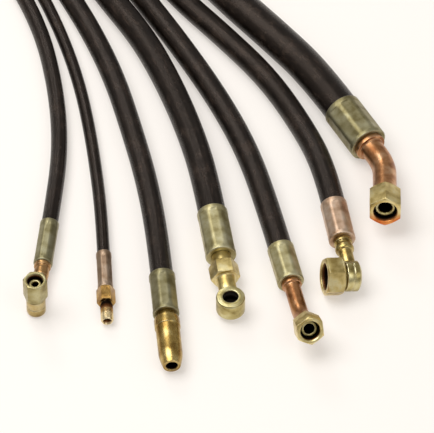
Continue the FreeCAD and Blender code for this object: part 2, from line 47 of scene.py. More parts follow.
# millimetres, apart from each length and route in metres
hoses = {
    1: {"outer": 17.4, "bore": 9.5, "ferrule": 56, "standsOut": 1.3, "length": 0.731,
        "nearHeight": 10.0, "farHeight": 11.0,
        "route": [(-0.175, -0.018), (-0.171, 0.020), (-0.167, 0.072), (-0.168, 0.124),
                  (-0.175, 0.184), (-0.189, 0.250), (-0.216, 0.320), (-0.260, 0.398),
                  (-0.308, 0.476), (-0.359, 0.548), (-0.393, 0.598), (-0.420, 0.640)]},
    2: {"outer": 13.4, "bore": 6.4, "ferrule": 48, "standsOut": 1.4, "length": 0.774,
        "nearHeight": 8.5, "farHeight": 8.5,
        "route": [(-0.118, -0.058), (-0.121, -0.006), (-0.127, 0.052), (-0.135, 0.112),
                  (-0.147, 0.178), (-0.166, 0.246), (-0.195, 0.322), (-0.238, 0.398),
                  (-0.284, 0.476), (-0.331, 0.552), (-0.362, 0.604), (-0.387, 0.648)]},
    3: {"outer": 23.7, "bore": 15.9, "ferrule": 52, "standsOut": 1.9, "length": 0.826,
        "nearHeight": 13.75, "farHeight": 13.75,
        "route": [(-0.057, -0.092), (-0.062, -0.038), (-0.074, 0.040), (-0.091, 0.112),
                  (-0.110, 0.184), (-0.136, 0.252), (-0.168, 0.318), (-0.207, 0.394),
                  (-0.253, 0.478), (-0.300, 0.560), (-0.328, 0.616), (-0.352, 0.664)]},
    4: {"outer": 29.3, "bore": 19.0, "ferrule": 60, "standsOut": 1.5, "length": 0.750,
        "nearHeight": 16.15, "farHeight": 16.15,
        "route": [(-0.005, -0.009), (-0.013, 0.042), (-0.028, 0.104), (-0.050, 0.170),
                  (-0.079, 0.238), (-0.119, 0.302), (-0.168, 0.386), (-0.216, 0.474),
                  (-0.259, 0.560), (-0.285, 0.618), (-0.306, 0.666)]},
    5: {"outer": 25.4, "bore": 15.9, "ferrule": 48, "standsOut": 1.4, "length": 0.804,
        "nearHeight": 14.1, "farHeight": 14.1,
        "route": [(0.066, -0.055), (0.054, -0.002), (0.033, 0.078), (0.003, 0.150),
                  (-0.038, 0.228), (-0.083, 0.304), (-0.133, 0.386), (-0.178, 0.474),
                  (-0.217, 0.560), (-0.240, 0.620), (-0.258, 0.670)]},
    6: {"outer": 25.4, "bore": 15.9, "ferrule": 50, "standsOut": 1.4, "length": 0.752,
        "nearHeight": 17.146, "farHeight": 15.0,
        "route": [(0.122, 0.002), (0.113, 0.054), (0.089, 0.118), (0.054, 0.184),
                  (0.007, 0.244), (-0.041, 0.300), (-0.088, 0.370), (-0.134, 0.452),
                  (-0.170, 0.542), (-0.189, 0.604), (-0.205, 0.662)]},
    7: {"outer": 38.1, "bore": 25.4, "ferrule": 56, "standsOut": 1.6, "length": 0.634,
        "nearHeight": 20.65, "farHeight": 20.65,
        "route": [(0.133, 0.131), (0.104, 0.183), (0.065, 0.234), (0.012, 0.297),
                  (-0.036, 0.362), (-0.081, 0.440), (-0.117, 0.526), (-0.139, 0.612),
                  (-0.153, 0.680)]},
}


# Camera and lamps

view = {"elevation": 50, "distance": 5.062, "lens": 400, "farthest": 100}


def aimCamera():
    lift = math.radians(view["elevation"])
    data = bpy.data.cameras.new("camera")
    data.lens = view["lens"]
    data.clip_end = view["farthest"]
    camera = bpy.data.objects.new("camera", data)
    camera.location = -setMiddle + Vector((0, -math.cos(lift), math.sin(lift))) * view["distance"]
    camera.rotation_euler = (math.pi / 2 - lift, 0, 0)
    bpy.context.scene.collection.objects.link(camera)
    bpy.context.scene.camera = camera


studio = {
    "key": {"place": (-0.85, -0.10, 2.4), "size": 2.2, "watts": 51},
    "glint": {"place": (-0.80, 2.10, 1.9), "size": 0.9, "watts": 13},
    "fill": {"place": (1.3, -1.6, 1.9), "size": 1.6, "watts": 8},
    "world": (0.98, 0.97, 0.95, 1), "worldStrength": 0.46,
}


def lightStudio():
    for name in ("key", "glint", "fill"):
        lamp = studio[name]
        data = bpy.data.lights.new(name, "AREA")
        data.shape = "DISK"
        data.size = lamp["size"]
        data.energy = lamp["watts"]
        light = bpy.data.objects.new(name, data)
        light.location = lamp["place"]
        light.rotation_euler = (-light.location).to_track_quat("-Z", "Y").to_euler()
        bpy.context.scene.collection.objects.link(light)
    world = bpy.data.worlds.new("studio")
    world.use_nodes = True
    background = world.node_tree.nodes["Background"]
    background.inputs["Color"].default_value = studio["world"]
    background.inputs["Strength"].default_value = studio["worldStrength"]
    bpy.context.scene.world = world
    bpy.context.scene.view_settings.view_transform = "Standard"


# Materials: one class for sockets under arithmetic, one for a material and its nodes

class Field:
    def __init__(self, finish, socket):
        self.finish = finish
        self.socket = socket

    def __add__(self, other):
        return self.finish.maths("ADD", self, other)

    def __mul__(self, other):
        return self.finish.maths("MULTIPLY", self, other)

    __radd__ = __add__
    __rmul__ = __mul__


class Finish:
    def __init__(self, name):
        self.material = bpy.data.materials.new(name)
        self.material.use_nodes = True
        self.tree = self.material.node_tree
        self.shader = self.tree.nodes["Principled BSDF"]

    def node(self, kind, inputs, settings=None, stops=None, output=0):
        made = self.tree.nodes.new(kind)
        for key, value in (settings or {}).items():
            setattr(made, key, value)
        if stops:
            ramp = made.color_ramp.elements
            while len(ramp) < len(stops):
                ramp.new(0.5)
            for element, (place, colour) in zip(ramp, stops):
                element.position = place
                element.color = (*colour, 1)
        for key, value in inputs.items():
            if isinstance(value, Field):
                self.tree.links.new(value.socket, made.inputs[key])
            else:
                made.inputs[key].default_value = value
        return Field(self, made.outputs[output])

    def maths(self, operation, first, second=0.0):
        return self.node("ShaderNodeMath", {0: first, 1: second}, {"operation": operation})

    def split(self, field, which):
        # another output of the node that a field comes from
        return Field(self, field.socket.node.outputs[which])

    def clamped(self, field, low, high):
        # 0 up to low, 1 from high on
        return self.node("ShaderNodeMapRange", {"Value": field, "From Min": low, "From Max": high})

    def mixed(self, factor, first, second):
        made = self.tree.nodes.new("ShaderNodeMix")
        made.data_type = "RGBA"
        for name, value in (("Factor", factor), ("A", first), ("B", second)):
            kind = "VALUE" if name == "Factor" else "RGBA"
            socket = next(s for s in made.inputs if s.name == name and s.type == kind)
            if isinstance(value, Field):
                self.tree.links.new(value.socket, socket)
            else:
                socket.default_value = value if name == "Factor" else (*value, 1)
        return Field(self, next(s for s in made.outputs if s.type == "RGBA"))

    def local(self):
        return self.node("ShaderNodeAttribute", {}, {"attribute_name": "local"}, output="Vector")

    def mark(self, name):
        return self.node("ShaderNodeAttribute", {}, {"attribute_name": name}, output="Fac")

    def place(self):
        return self.node("ShaderNodeTexCoord", {}, output="Object")

    def stretched(self, vector, scale):
        return self.node("ShaderNodeMapping", {"Vector": vector, "Scale": scale})

    def noise(self, vector, scale, detail=3.0, roughness=0.55):
        return self.node("ShaderNodeTexNoise", {"Vector": vector, "Scale": scale,
                                                "Detail": detail, "Roughness": roughness})

    def bump(self, height, distance, strength):
        return self.node("ShaderNodeBump", {"Height": height, "Distance": distance,
                                            "Strength": strength})

    def wear(self, **values):
        for key, value in values.items():
            socket = self.shader.inputs[key.replace("_", " ")]
            if isinstance(value, Field):
                self.tree.links.new(value.socket, socket)
            else:
                socket.default_value = value
        return self.material


rubber = {"deep": (0.0018, 0.0010, 0.0007), "plain": (0.0048, 0.0030, 0.0021),
          "rubbed": (0.022, 0.0145, 0.0105), "chalk": (0.070, 0.052, 0.040), "chalkShare": 0.45,
          "sheen": (1.0, 0.80, 0.67, 1.0), "gloss": 0.31, "smoothest": 0.13, "duller": 0.22,
          "streakScale": 0.42, "streakAlong": 0.10, "cloudScale": 55, "chalkScale": 150,
          "fineScale": 1100, "tapePitch": 1.7, "tapeLean": 2.0, "tapePrint": 0.25,
          "printDepth": 0.00012, "printStrength": 0.4}


def hoseRubber(hose):
    # streaks run along the hose, and the cover keeps the print of the tape it was cured in
    size = hoses[hose]
    finish = Finish(f"hose_rubber_{hose}")
    skin = finish.node("ShaderNodeSeparateXYZ", {0: finish.node("ShaderNodeTexCoord", {}, output="UV")})
    turn = skin * (2 * math.pi)
    along = finish.split(skin, "Y") * (size["length"] * 1000)
    radius = size["outer"] / 2
    girth = finish.node("ShaderNodeCombineXYZ", {
        0: finish.maths("COSINE", turn) * radius, 1: finish.maths("SINE", turn) * radius,
        2: along * rubber["streakAlong"]})
    streak = finish.noise(girth, rubber["streakScale"], 4.0, 0.6)
    cloudy = finish.noise(finish.place(), rubber["cloudScale"], 4)
    tint = finish.node("ShaderNodeValToRGB", {"Fac": 0.55 * streak + 0.45 * cloudy}, stops=[
        (0.36, rubber["deep"]), (0.50, rubber["plain"]), (0.64, rubber["rubbed"])])
    chalk = finish.clamped(finish.noise(finish.place(), rubber["chalkScale"], 5, 0.7), 0.60, 0.82)
    tint = finish.mixed(chalk * rubber["chalkShare"], tint, rubber["chalk"])
    wrap = finish.maths("SINE", along * (2 * math.pi / rubber["tapePitch"]) + turn * rubber["tapeLean"])
    fine = finish.noise(finish.place(), rubber["fineScale"], 3)
    rough = rubber["smoothest"] + rubber["duller"] * cloudy
    printed = finish.bump(wrap * rubber["tapePrint"] + fine, rubber["printDepth"], rubber["printStrength"])
    return finish.wear(Base_Color=tint, Roughness=rough, Specular_IOR_Level=rubber["gloss"],
                       Specular_Tint=rubber["sheen"], Normal=printed)


# linear colours of a film: where it is dark, its usual tone, where it is bright, and worn edges
films = {
    "pale": ((0.165, 0.138, 0.060), (0.255, 0.226, 0.122), (0.340, 0.315, 0.198), (0.52, 0.49, 0.36)),
    "bright": ((0.290, 0.241, 0.105), (0.450, 0.400, 0.218), (0.570, 0.530, 0.345), (0.64, 0.61, 0.47)),
    "rose": ((0.195, 0.120, 0.070), (0.315, 0.215, 0.140), (0.410, 0.305, 0.220), (0.55, 0.45, 0.35)),
    "blush": ((0.350, 0.216, 0.130), (0.560, 0.390, 0.270), (0.660, 0.520, 0.400), (0.70, 0.62, 0.52)),
    "gold": ((0.230, 0.135, 0.034), (0.400, 0.270, 0.080), (0.560, 0.430, 0.175), (0.82, 0.72, 0.45)),
    "copper": ((0.240, 0.095, 0.034), (0.460, 0.220, 0.092), (0.600, 0.365, 0.205), (0.74, 0.57, 0.40)),
    "drum": ((0.270, 0.210, 0.070), (0.480, 0.400, 0.165), (0.620, 0.560, 0.300), (0.80, 0.75, 0.52)),
    "nut": ((0.400, 0.290, 0.095), (0.680, 0.540, 0.225), (0.790, 0.690, 0.390), (0.86, 0.82, 0.62)),
    "amber": ((0.330, 0.055, 0.012), (0.600, 0.150, 0.030), (0.720, 0.290, 0.080), (0.78, 0.48, 0.25)),
    "wire": ((0.25, 0.25, 0.24), (0.42, 0.42, 0.41), (0.60, 0.60, 0.58), (0.75, 0.75, 0.74)),
}
# the last two colours are painted shade in bores and in the stud's relief, brown near a mouth and near
# black deeper in, and the roughness before them is added there
plating = {"filmScale": 0.075, "blotchScale": 0.30, "blotchShare": 0.5, "edgeScale": 0.9,
           "edgeShare": 0.85, "grainStretch": (0.25, 4, 4), "grainScale": 1.0, "grainRough": 0.16,
           "grainDepth": 0.00008, "grainStrength": 0.6, "insideRough": 0.2,
           "paintedShadeBrown": (0.19, 0.070, 0.022), "paintedShadeBlack": (0.010, 0.006, 0.004)}

# each look: its film, the film that it turns to where it is toned, its roughness, its name and slot
looks = {
    "pale": {"film": "pale", "toned": "bright", "rough": 0.36, "name": "ferrule_zinc",
             "slot": "ferrule_zinc"},
    "rose": {"film": "rose", "toned": "blush", "rough": 0.36, "name": "ferrule_rose_zinc",
             "slot": "ferrule_rose_zinc"},
    "gold": {"film": "gold", "toned": "drum", "rough": 0.19, "name": "insert_gold",
             "slot": "insert_gold"},
    "warm": {"film": "gold", "toned": "amber", "rough": 0.17, "name": "insert_warm_gold",
             "slot": "insert_gold"},
    "eye": {"film": "drum", "toned": "nut", "rough": 0.27, "name": "insert_pale_gold",
            "slot": "insert_gold"},
    "copper": {"film": "copper", "toned": "drum", "rough": 0.24, "name": "insert_copper",
               "slot": "insert_copper"},
    "nut": {"film": "nut", "toned": "amber", "rough": 0.27, "name": "nut_zinc",
            "slot": "nut_zinc"},
    "dull": {"film": "pale", "toned": "drum", "rough": 0.29, "name": "nut_dull_zinc",
             "slot": "nut_zinc"},
    "wire": {"film": "wire", "toned": "wire", "rough": 0.25, "name": "spring_wire"},
}


def filmTint(finish, name, local, film):
    # one film's colours, with darker blotches and bare crests
    dark, middle, light, worn = films[name]
    tint = finish.node("ShaderNodeValToRGB", {"Fac": film},
                       stops=[(0.34, dark), (0.50, middle), (0.66, light)])
    blotch = finish.clamped(finish.noise(local, plating["blotchScale"], 4), 0.54, 0.78)
    tint = finish.mixed(blotch * plating["blotchShare"], tint, dark)
    ragged = finish.mark("worn") + 0.5 * finish.noise(local, plating["edgeScale"], 3)
    return finish.mixed(finish.clamped(ragged, 0.45, 1.2) * plating["edgeShare"], tint, worn)


def plated(look):
    # zinc plate whose thin film shifts in colour from place to place; bores and grooves get painted shade
    finish = Finish(look["name"])
    local = finish.local()
    film = finish.noise(local, plating["filmScale"], 3.5, 0.6)
    grain = finish.noise(finish.stretched(local, plating["grainStretch"]), plating["grainScale"], 3)
    tint = finish.mixed(finish.mark("tone"), filmTint(finish, look["film"], local, film),
                        filmTint(finish, look["toned"], local, film))
    # painted shade where the inside mark is set: brown near a mouth, near black deeper in
    inside = finish.mark("inside")
    tint = finish.mixed(finish.clamped(inside, 0.0, 0.45), tint, plating["paintedShadeBrown"])
    tint = finish.mixed(finish.clamped(inside, 0.35, 1.0), tint, plating["paintedShadeBlack"])
    rough = look["rough"] + plating["grainRough"] * grain + plating["insideRough"] * inside
    return finish.wear(Base_Color=tint, Metallic=1.0, Roughness=rough,
                       Normal=finish.bump(grain, plating["grainDepth"], plating["grainStrength"]))


sealRing = {"dark": (0.010, 0.010, 0.010), "light": (0.022, 0.022, 0.022), "speckleScale": 700,
            "smoothest": 0.35, "duller": 0.2}


def sealRubber():
    finish = Finish("seal_rubber")
    speckle = finish.noise(finish.place(), sealRing["speckleScale"], 3)
    tint = finish.node("ShaderNodeValToRGB", {"Fac": speckle},
                       stops=[(0.4, sealRing["dark"]), (0.6, sealRing["light"])])
    return finish.wear(Base_Color=tint, Roughness=sealRing["smoothest"] + sealRing["duller"] * speckle)


# the camera, metal and glass see the paper's own white in the floor, which still keeps its shadows
table = {"radius": 20, "sides": 64, "plain": (0.93, 0.89, 0.84), "cloudScale": 3.0,
         "cloudShade": 0.985, "rough": 0.85, "gloss": 0.2,
         "paper": (1.0, 0.935, 0.875), "paperShare": 0.42}


def layFloor():
    bm = bmesh.new()
    bmesh.ops.create_circle(bm, cap_ends=True, segments=table["sides"], radius=table["radius"])
    mesh = bpy.data.meshes.new("floor")
    bm.to_mesh(mesh)
    bm.free()
    finish = Finish("floor")
    cloudy = finish.noise(finish.place(), table["cloudScale"], 2)
    tint = finish.mixed(cloudy, table["plain"], [table["cloudShade"] * v for v in table["plain"]])
    mesh.materials.append(finish.wear(Base_Color=tint, Roughness=table["rough"],
                                      Specular_IOR_Level=table["gloss"]))
    rays = finish.node("ShaderNodeLightPath", {}, output="Is Camera Ray")
    seen = rays + finish.split(rays, "Is Glossy Ray") + finish.split(rays, "Is Transmission Ray")
    share = finish.maths("MINIMUM", seen, 1.0) * table["paperShare"]
    glow = finish.node("ShaderNodeEmission", {"Color": (*table["paper"], 1), "Strength": 1.0})
    lit = Field(finish, finish.shader.outputs[0])
    shown = finish.node("ShaderNodeMixShader", {0: share, 1: lit, 2: glow})
    finish.tree.links.new(shown.socket, finish.tree.nodes["Material Output"].inputs["Surface"])
    floor = bpy.data.objects.new("floor", mesh)
    bpy.context.scene.collection.objects.link(floor)


# Shaping

turning = {"steps": 96, "weld": 0.001, "sharpest": 26, "smoothUpTo": 32, "wallMargin": 0.05}


def turned(bm, outline):
    # spins a closed outline of (along, radius) points about X
    verts = [bm.verts.new((along, 0, radius)) for along, radius in outline]
    edges = [bm.edges.new(pair) for pair in zip(verts, verts[1:] + verts[:1])]
    bmesh.ops.spin(bm, geom=verts + edges, cent=(0, 0, 0), axis=(1, 0, 0), dvec=(0, 0, 0),
                   angle=2 * math.pi, steps=turning["steps"], use_merge=True)
    bmesh.ops.remove_doubles(bm, verts=bm.verts[:], dist=turning["weld"])
    bmesh.ops.recalc_face_normals(bm, faces=bm.faces[:])


def pressFlats(bm, sides, width, start, stop):
    # leaves a flat wherever the turned shape stands out of a prism of that width, one flat down
    step = 2 * math.pi / sides
    for vert in bm.verts:
        x, y, z = vert.co
        if not start <= x <= stop:
            continue
        radius = math.hypot(y, z)
        fromDown = math.atan2(y, -z) % step
        reach = width / 2 / math.cos(min(fromDown, step - fromDown))
        if radius > reach:
            vert.co = (x, y * reach / radius, z * reach / radius)


def softened(bm, width):
    # rounds every sharp edge and marks the crest of the new band as worn
    sharpest = math.radians(turning["sharpest"])
    edges = [e for e in bm.edges if e.is_manifold and e.calc_face_angle(0) > sharpest]
    made = bmesh.ops.bevel(bm, geom=edges, offset=width, offset_type="OFFSET", segments=2,
                           profile=0.5, affect="EDGES", clamp_overlap=True, material=-1)
    worn = bm.verts.layers.float.get("worn") or bm.verts.layers.float.new("worn")
    band = set(made["faces"])
    for vert in {v for face in band for v in face.verts}:
        if all(face in band for face in vert.link_faces):
            vert[worn] = 1.0


def shape(outline, soften, flats=None):
    # one turned shell with softened edges, and any flats as (sides, width, start, stop)
    bm = bmesh.new()
    turned(bm, outline)
    if flats:
        pressFlats(bm, *flats)
    softened(bm, soften)
    return bm


def mark(bm, name, amount):
    # gives every point a share between 0 and 1 under that name, and keeps a higher one
    layer = bm.verts.layers.float.get(name) or bm.verts.layers.float.new(name)
    for vert in bm.verts:
        vert[layer] = max(vert[layer], min(1.0, amount(vert.co)))


def paintBoreShade(bm, mouth, radius, run):
    # paints shade on a bore's wall, darker the further it lies in from its mouth
    wall = radius + turning["wallMargin"]
    mark(bm, "inside", lambda point: (mouth - point.x) / run
         if math.hypot(point.y, point.z) <= wall else 0.0)


def joined(bm, other, matrix):
    # adds another shape to this one, in its place in the fitting
    bmesh.ops.transform(other, matrix=matrix, verts=other.verts[:])
    bulk = bpy.data.meshes.new("bulk")
    other.to_mesh(bulk)
    other.free()
    bm.from_mesh(bulk)
    bpy.data.meshes.remove(bulk)


def ringPoints(places, radius):
    return [(place, radius) for place in places]


def rising(start, low, stop, high, steps=5):
    # a slope in short steps, so that flats meet it in a clean curve
    share = [k / steps for k in range(steps + 1)]
    return [(start + (stop - start) * s, low + (high - low) * s) for s in share]


hexagonEnds = {"slope": 0.6, "inFlats": 0.1, "past": 0.1}


def hexOutline(flats, start, stop):
    corner = flats / math.sqrt(3)
    slope = hexagonEnds["slope"] * (corner - flats / 2)
    face = flats / 2 - hexagonEnds["inFlats"]
    return rising(start, face, start + slope, corner) + rising(stop - slope, corner, stop, face)


def sixFlats(flats, start, stop):
    return 6, flats, start - hexagonEnds["past"], stop + hexagonEnds["past"]


# one turn of a thread, in shares of its pitch
ridge = {"foot": 0.12, "crest": 0.45, "crestEnd": 0.60, "farFoot": 0.93}


def threadOutline(start, stop, radius, depth, pitch=1.5):
    # ridges and valleys of a thread, from one end to the other
    count = int((stop - start) / pitch)
    first = start + ((stop - start) - count * pitch) / 2
    points = []
    for turn in range(count):
        points.append((first + turn * pitch + ridge["foot"] * pitch, radius))
        points.append((first + (turn + ridge["crest"]) * pitch, radius + depth))
        points.append((first + (turn + ridge["crestEnd"]) * pitch, radius + depth))
        points.append((first + (turn + ridge["farFoot"]) * pitch, radius))
    return points


def finished(bm, pieceName, matrix, look, body, node):
    # stores the fitting's own coordinates, places the shape and hands it to the frame
    layer = bm.verts.layers.float_vector.new("local")
    for name in ("worn", "inside", "tone"):
        if not bm.verts.layers.float.get(name):
            bm.verts.layers.float.new(name)
    for vert in bm.verts:
        vert[layer] = vert.co
    bmesh.ops.transform(bm, matrix=matrix @ Matrix.Scale(mm, 4), verts=bm.verts[:])
    mesh = bpy.data.meshes.new(pieceName)
    bm.to_mesh(mesh)
    bm.free()
    mesh.shade_smooth()
    mesh.set_sharp_from_angle(angle=math.radians(turning["smoothUpTo"]))
    mesh.materials.append(finishes[look])
    piece = bpy.data.objects.new(pieceName, mesh)
    bpy.context.scene.collection.objects.link(piece)
    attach(piece, body)
    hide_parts(node)


# Routes and frames

def routePoints(hose):
    size = hoses[hose]
    last = len(size["route"]) - 1
    points = []
    for place, (x, y) in enumerate(size["route"]):
        height = size["outer"] / 2
        if place <= 1:
            height = size["nearHeight"]
        if place >= last - 1:
            height = size["farHeight"]
        points.append(Vector((x, y, height * mm)) - setMiddle)
    return points


def standing(base, way, top):
    # a frame at base whose X is way and whose Z is nearest to top
    side = top.cross(way).normalized()
    above = way.cross(side).normalized()
    matrix = Matrix((way, side, above)).transposed().to_4x4()
    matrix.translation = base
    return matrix


def endFrame(hose, near):
    points = routePoints(hose)
    if not near:
        points.reverse()
    way = (points[0] - points[1]).normalized()
    return standing(points[0], way, zAxis)


def inFitting(matrix, inner):
    # a frame in millimetres inside a fitting, carried to the fitting's place in metres
    moved = inner.copy()
    moved.translation = inner.translation * mm
    return matrix @ moved


def turnedSide(roll):
    # square to the fitting: the viewer's left at 0 degrees, and up at 90
    turn = math.radians(roll)
    return Vector((0, -math.cos(turn), math.sin(turn)))


# Hoses

laying = {"inFerrule": 3.0, "steps": 10, "roundness": 10}


def layHose(hose):
    size = hoses[hose]
    points = routePoints(hose)
    inside = laying["inFerrule"] * mm
    points[0] += (points[0] - points[1]).normalized() * inside
    points[-1] += (points[-1] - points[-2]).normalized() * inside
    curve = bpy.data.curves.new(f"hose_{hose}", "CURVE")
    curve.dimensions = "3D"
    curve.resolution_u = laying["steps"]
    curve.bevel_depth = size["outer"] / 2 * mm
    curve.bevel_resolution = laying["roundness"]
    curve.use_fill_caps = True
    spline = curve.splines.new("NURBS")
    spline.points.add(len(points) - 1)
    for vertex, point in zip(spline.points, points):
        vertex.co = (*point, 1)
    spline.order_u = 3
    spline.use_endpoint_u = True
    spline.use_smooth = True
    curve.materials.append(hoseRubber(hose))
    piece = bpy.data.objects.new(f"hose_{hose}", curve)
    bpy.context.scene.collection.objects.link(piece)
    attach(piece, "hose_set")
    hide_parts(f"hose_{hose}_cover", f"hose_{hose}_braid", f"hose_{hose}_liner")


# Ferrules

crimp = {"jaws": 8, "depth": 0.045, "rings": 12, "start": 6.0, "stop": 5.0, "run": 0.6,
         "mouthDepth": 5.0, "mouthGap": 0.4, "mouthEdge": 0.4, "squeeze": 0.5, "lip": 3.2,
         "groove": 0.5, "chamfer": 0.8, "soften": 0.25, "rose": (2, 6),
         "tones": {1: 0.0, 2: 0.0, 3: 0.0, 4: 1.0, 5: 0.95, 6: 1.0, 7: 0.2}}


def ferruleRadius(hose):
    return hoses[hose]["outer"] / 2 + hoses[hose]["standsOut"]


def ferruleShape(hose):
    size = hoses[hose]
    length = size["ferrule"]
    outer = ferruleRadius(hose)
    mouth = size["outer"] / 2 + crimp["mouthGap"]
    grip = size["outer"] / 2 - crimp["squeeze"]
    lip = size["bore"] / 2 + crimp["groove"]
    start = crimp["start"]
    stop = length - crimp["stop"]
    rings = [start + (stop - start) * k / crimp["rings"] for k in range(crimp["rings"] + 1)]
    outline = [(0, mouth), (0, outer - crimp["mouthEdge"]), (crimp["mouthEdge"], outer),
               (start - crimp["run"], outer)]
    outline += ringPoints(rings, outer)
    outline += [(stop + crimp["run"], outer), (length - crimp["chamfer"], outer),
                (length, outer - crimp["chamfer"]), (length, lip),
                (length - crimp["lip"], lip), (length - crimp["lip"], grip),
                (crimp["mouthDepth"], grip), (crimp["mouthDepth"], mouth)]
    bm = shape(outline, crimp["soften"], (crimp["jaws"], 2 * outer * (1 - crimp["depth"]), start, stop))
    mark(bm, "tone", lambda point: crimp["tones"][hose])
    return bm


def addFerrules():
    for hose in hoses:
        look = "rose" if hose in crimp["rose"] else "pale"
        for word in ("near", "far"):
            finished(ferruleShape(hose), f"{word}_crimped_ferrule_{hose}", endFrame(hose, word == "near"),
                     look, "hose_set", f"{word}_ferrule_{hose}")


# Swivel heads and nuts

nearNuts = {
    1: {"flats": 22.0, "length": 26.0, "thread": 16.4, "depth": 6.0, "look": "dull", "tone": 0.55},
    5: {"flats": 27.0, "length": 21.0, "thread": 20.4, "depth": 7.0},
    6: {"flats": 36.0, "length": 19.0, "thread": 28.0, "depth": 7.0},
    7: {"flats": 32.0, "length": 30.0, "thread": 24.4, "depth": 7.0, "stain": 1.3},
}
farNuts = {
    1: {"flats": 22.0, "length": 21.0, "thread": 16.4, "depth": 7.0},
    3: {"flats": 27.0, "length": 22.0, "thread": 20.4, "depth": 7.0},
    5: {"flats": 27.0, "length": 22.0, "thread": 20.4, "depth": 7.0},
    6: {"flats": 30.0, "length": 23.0, "thread": 24.4, "depth": 8.0},
    7: {"flats": 41.0, "length": 29.0, "thread": 34.0, "depth": 9.0},
}
swivel = {"inThread": 0.6, "step": 2.0, "cone": 6.0, "slope": math.tan(math.radians(12)),
          "noseWall": 2.2, "noseEdge": 0.5, "boreRun": 3.0, "gap": 0.25, "undercut": 0.6,
          "undercutLength": 2.5, "mouth": 1.0, "mouthStep": 0.05, "threadFrom": 0.4,
          "threadShort": 0.1, "soften": 0.3, "unshadedRim": 1.2, "shadeRun": 3.5, "stainRun": 4.0}


def headSizes(nut):
    head = nut["thread"] / 2 - swivel["inThread"]
    nose = head - swivel["cone"] * swivel["slope"]
    return {"head": head, "nose": nose, "mouth": nose - swivel["noseWall"],
            "back": nut["length"] - nut["depth"]}


def headOutline(nut, neck, bore):
    # the swivel head with its nose at zero, from its neck forward and back through its bore
    sizes = headSizes(nut)
    edge = swivel["noseEdge"]
    outline = [(-sizes["back"] - swivel["step"], bore), (-sizes["back"] - swivel["step"], neck),
               (-sizes["back"], sizes["head"]), (-swivel["cone"], sizes["head"]),
               (-edge, sizes["nose"]), (0, sizes["nose"] - edge)]
    if sizes["mouth"] > bore:
        deep = bore - sizes["mouth"]
        return outline + [(0, sizes["mouth"]), (deep, bore), (deep - swivel["boreRun"], bore)]
    return outline + [(0, bore), (-swivel["boreRun"], bore)]


def nutShape(nut):
    sizes = headSizes(nut)
    thread = nut["thread"] / 2
    root = thread + swivel["undercut"]
    run = sizes["head"] + swivel["gap"]
    back = sizes["back"]
    depth = nut["depth"]
    threadStop = depth - swivel["mouth"]
    inside = [(depth, thread + swivel["mouth"]), (threadStop, thread + swivel["mouthStep"])]
    inside += threadOutline(swivel["threadFrom"], threadStop - swivel["threadShort"], thread,
                            swivel["undercut"])[::-1]
    inside += [(0, thread), (0, root), (-swivel["undercutLength"], root),
               (-swivel["undercutLength"], run), (-back, run)]
    bm = shape(hexOutline(nut["flats"], -back, depth) + inside, swivel["soften"],
               sixFlats(nut["flats"], -back, depth))
    paintBoreShade(bm, depth - swivel["unshadedRim"], root, swivel["shadeRun"])
    stain = nut.get("stain", 0)  # film gone orange on one side of the mouth
    mark(bm, "tone", lambda point: stain * point.y / thread if point.x > depth - swivel["stainRun"] else 0)
    mark(bm, "tone", lambda point: nut.get("tone", 0))
    return bm


def addNut(word, hose, nut, matrix):
    finished(nutShape(nut), f"{word}_swivel_nut_{hose}_piece", matrix, nut.get("look", "nut"),
             f"{word}_swivel_nut_{hose}", f"{word}_nut_{hose}")


# Inserts

tail = {"start": 4.0, "edge": 0.5, "wall": 1.4, "gap": 0.15, "barbs": 4, "barbDepth": 0.4,
        "barbLength": 2.5, "ringBack": 5.5, "ringLength": 2.0, "ringHeight": 1.6, "groove": 0.5,
        "fromFerrule": 0.3}
boreShadeRun = 2.5  # how far into an insert's bore the painted shade takes to reach its darkest


def insertBore(hose):
    return hoses[hose]["bore"] / 2 - tail["gap"] - tail["wall"]


def fittingStart(hose):
    return hoses[hose]["ferrule"] + tail["fromFerrule"]


def tailOutline(hose):
    # the barbed stretch inside the hose, up to the ferrule's lip
    start = tail["start"]
    radius = hoses[hose]["bore"] / 2 - tail["gap"]
    stop = hoses[hose]["ferrule"] - tail["ringBack"]
    ring = radius + tail["ringHeight"]
    ringStop = stop + tail["ringLength"]
    outline = [(start, insertBore(hose)), (start, radius - tail["edge"]), (start + tail["edge"], radius)]
    for barb in range(1, tail["barbs"] + 1):
        along = start + barb * (stop - start) / (tail["barbs"] + 1)
        outline += [(along, radius), (along, radius - tail["barbDepth"]),
                    (along + tail["barbLength"], radius)]
    return outline + [(stop, radius), (stop, ring), (ringStop, ring),
                      (ringStop, radius + tail["groove"]), (fittingStart(hose), radius + tail["groove"])]


elbows = {
    1: {"reach": 54.0, "rise": 15.0, "back": 9.5, "drum": 20.0, "neck": 15.0, "collar": 17.6,
        "bead": 16.0, "roll": 90, "tone": 0.3, "drumTone": 0.75},
    6: {"reach": 48.0, "rise": 10.0, "back": 8.0, "drum": 32.0, "neck": 15.0, "collar": 19.0,
        "bead": 20.0, "roll": 10, "tone": 0.5, "drumTone": 1.0},
}
elbowDetail = {"collarLength": 4.0, "beadFrom": 3.0, "beadLength": 9.0, "beadSteps": 8,
               "intoDrum": 1.5, "heel": 3.0, "heelLength": 2.0, "floor": 2.0, "nearAxis": 0.01,
               "groove": 0.7, "grooveTop": 0.9, "grooveFloor": 0.5, "rim": 1.2, "neckStep": 0.5,
               "soften": 0.3, "headSoften": 0.25}


def beadOutline(start, stop, low, high):
    # a round bead between two places on a neck
    points = []
    for k in range(elbowDetail["beadSteps"] + 1):
        turn = math.pi * k / elbowDetail["beadSteps"]
        along = (start + stop) / 2 - (stop - start) / 2 * math.cos(turn)
        points.append((along, low + (high - low) * math.sin(turn)))
    return points


